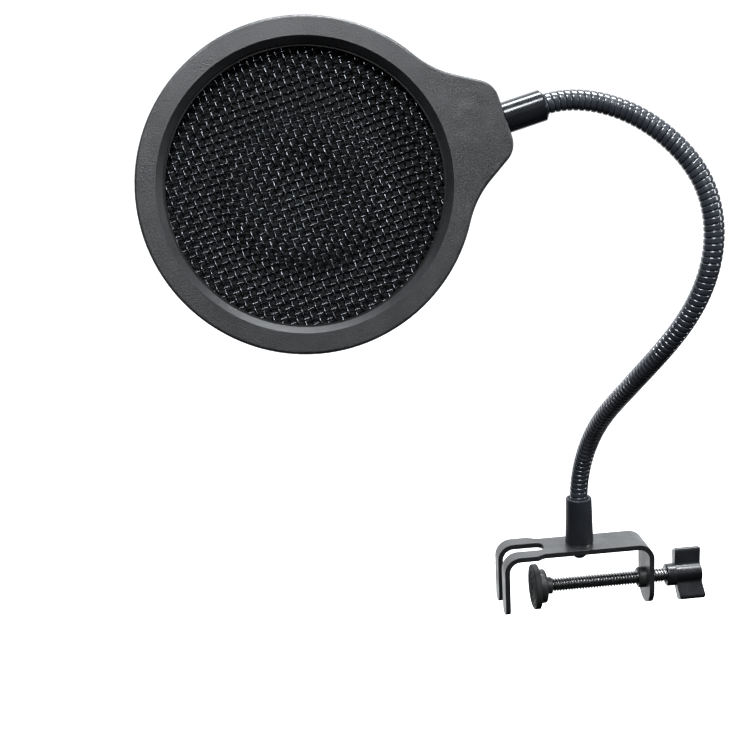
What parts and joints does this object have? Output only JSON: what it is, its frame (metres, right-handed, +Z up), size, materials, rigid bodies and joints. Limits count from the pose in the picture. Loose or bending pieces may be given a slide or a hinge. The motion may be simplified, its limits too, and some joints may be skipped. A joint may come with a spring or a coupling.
{
  "type": "pop filter",
  "caption": "Round layered pop filter with a woven front screen in a plastic rim, on a flexible gooseneck arm with a forked screw clamp.",
  "frame": {"origin": "on the clamp screw's axis, between the two prongs of the fixed jaw and level with their gripping faces", "axes": "+X along the clamp screw from the fixed jaw to the knob, +Z up from the screw to the arm, and the screen faces -Y"},
  "size_m": [0.2321, 0.091, 0.2639],
  "materials": {
    "rim_plastic": "matte",
    "hoop_plastic": "satin",
    "screen_wire": "satin",
    "foam": "matte",
    "fabric": "matte",
    "head_sleeve": "gloss",
    "gooseneck": "satin",
    "foot_sleeve": "matte",
    "washer_steel": "satin",
    "painted_steel": "satin",
    "bush_steel": "satin",
    "screw_steel": "satin",
    "cup_steel": "satin",
    "knob_plastic": "matte",
    "pad_rubber": "matte"
  },
  "bodies": {
    "clamp": {"clamp_bracket": "painted_steel", "threaded_bush": "bush_steel", "friction_washer": "washer_steel"},
    "pressure_pad": {"rubber_pad": "pad_rubber", "pressure_cup": "cup_steel"},
    "screw": {"thumb_screw": "screw_steel", "wing_knob": "knob_plastic"},
    "arm_foot": {"foot_ferrule": "foot_sleeve", "swivel_rivet": "painted_steel", "gooseneck_root": "gooseneck"},
    "arm_01": {"gooseneck_link_01": "gooseneck"},
    "arm_02": {"gooseneck_link_02": "gooseneck"},
    "arm_03": {"gooseneck_link_03": "gooseneck"},
    "arm_04": {"gooseneck_link_04": "gooseneck"},
    "arm_05": {"gooseneck_link_05": "gooseneck"},
    "arm_06": {"gooseneck_link_06": "gooseneck"},
    "arm_07": {"gooseneck_link_07": "gooseneck"},
    "arm_08": {"gooseneck_link_08": "gooseneck"},
    "arm_09": {"gooseneck_link_09": "gooseneck"},
    "arm_10": {"gooseneck_link_10": "gooseneck"},
    "arm_11": {"gooseneck_link_11": "gooseneck"},
    "head": {"gooseneck_tip": "gooseneck", "head_ferrule": "head_sleeve", "front_rim": "rim_plastic", "rear_rim": "rim_plastic", "screen_hoop": "hoop_plastic", "front_screen": "screen_wire", "foam_disc": "foam", "fabric_layer": "fabric", "tab_screws": "screw_steel"}
  },
  "joints": [
    {"name": "pad_travel", "type": "slide", "parent": "clamp", "child": "pressure_pad", "axis": [1, 0, 0], "range_m": [-0.0065, 0.0375]},
    {"name": "screw_turn", "type": "hinge", "parent": "pressure_pad", "child": "screw", "pos_m": [0.0175, 0, 0], "axis": [1, 0, 0], "range_deg": [-1844, 10631]},
    {"name": "arm_swivel", "type": "hinge", "parent": "clamp", "child": "arm_foot", "pos_m": [0.0333, 0, 0.0188], "axis": [0, 0, 1], "continuous": true},
    {"name": "bend_01", "type": "hinge", "parent": "arm_foot", "child": "arm_01", "pos_m": [0.03381, -0.00124, 0.05012], "axis": [-0.598, -0.7904, -0.1329], "range_deg": [-30, 30]},
    {"name": "lean_02", "type": "hinge", "parent": "arm_01", "child": "arm_02", "pos_m": [0.03633, -0.00977, 0.06874], "axis": [0.773, -0.4532, -0.444], "range_deg": [-30, 30]},
    {"name": "bend_03", "type": "hinge", "parent": "arm_02", "child": "arm_03", "pos_m": [0.03967, -0.02323, 0.08414], "axis": [0.6535, 0.6194, 0.4351], "range_deg": [-30, 30]},
    {"name": "lean_04", "type": "hinge", "parent": "arm_03", "child": "arm_04", "pos_m": [0.04439, -0.03797, 0.09796], "axis": [-0.7096, 0.3292, 0.623], "range_deg": [-30, 30]},
    {"name": "bend_05", "type": "hinge", "parent": "arm_04", "child": "arm_05", "pos_m": [0.04963, -0.05257, 0.11174], "axis": [-0.6422, -0.665, -0.3812], "range_deg": [-30, 30]},
    {"name": "lean_06", "type": "hinge", "parent": "arm_05", "child": "arm_06", "pos_m": [0.0566, -0.0649, 0.12685], "axis": [0.7294, -0.3627, -0.58], "range_deg": [-30, 30]},
    {"name": "bend_07", "type": "hinge", "parent": "arm_06", "child": "arm_07", "pos_m": [0.06376, -0.07312, 0.14444], "axis": [0.5473, 0.8341, 0.0688], "range_deg": [-30, 30]},
    {"name": "lean_08", "type": "hinge", "parent": "arm_07", "child": "arm_08", "pos_m": [0.0678, -0.07535, 0.16451], "axis": [-0.7762, 0.6304, 0.0113], "range_deg": [-30, 30]},
    {"name": "bend_09", "type": "hinge", "parent": "arm_08", "child": "arm_09", "pos_m": [0.06546, -0.07123, 0.18452], "axis": [-0.7365, -0.676, -0.0254], "range_deg": [-30, 30]},
    {"name": "lean_10", "type": "hinge", "parent": "arm_09", "child": "arm_10", "pos_m": [0.05524, -0.06363, 0.20074], "axis": [0.377, -0.5947, 0.7101], "range_deg": [-30, 30]},
    {"name": "bend_11", "type": "hinge", "parent": "arm_10", "child": "arm_11", "pos_m": [0.03969, -0.05607, 0.21201], "axis": [0.4604, 0.8048, 0.3746], "range_deg": [-30, 30]},
    {"name": "lean_12", "type": "hinge", "parent": "arm_11", "child": "head", "pos_m": [0.02008, -0.05202, 0.21674], "axis": [0.0102, 0.3668, -0.9302], "range_deg": [-30, 30]}
  ],
  "couplings": [
    {"joint": "screw_turn", "follows": "pad_travel", "rad_per_m": 4947.4}
  ]
}
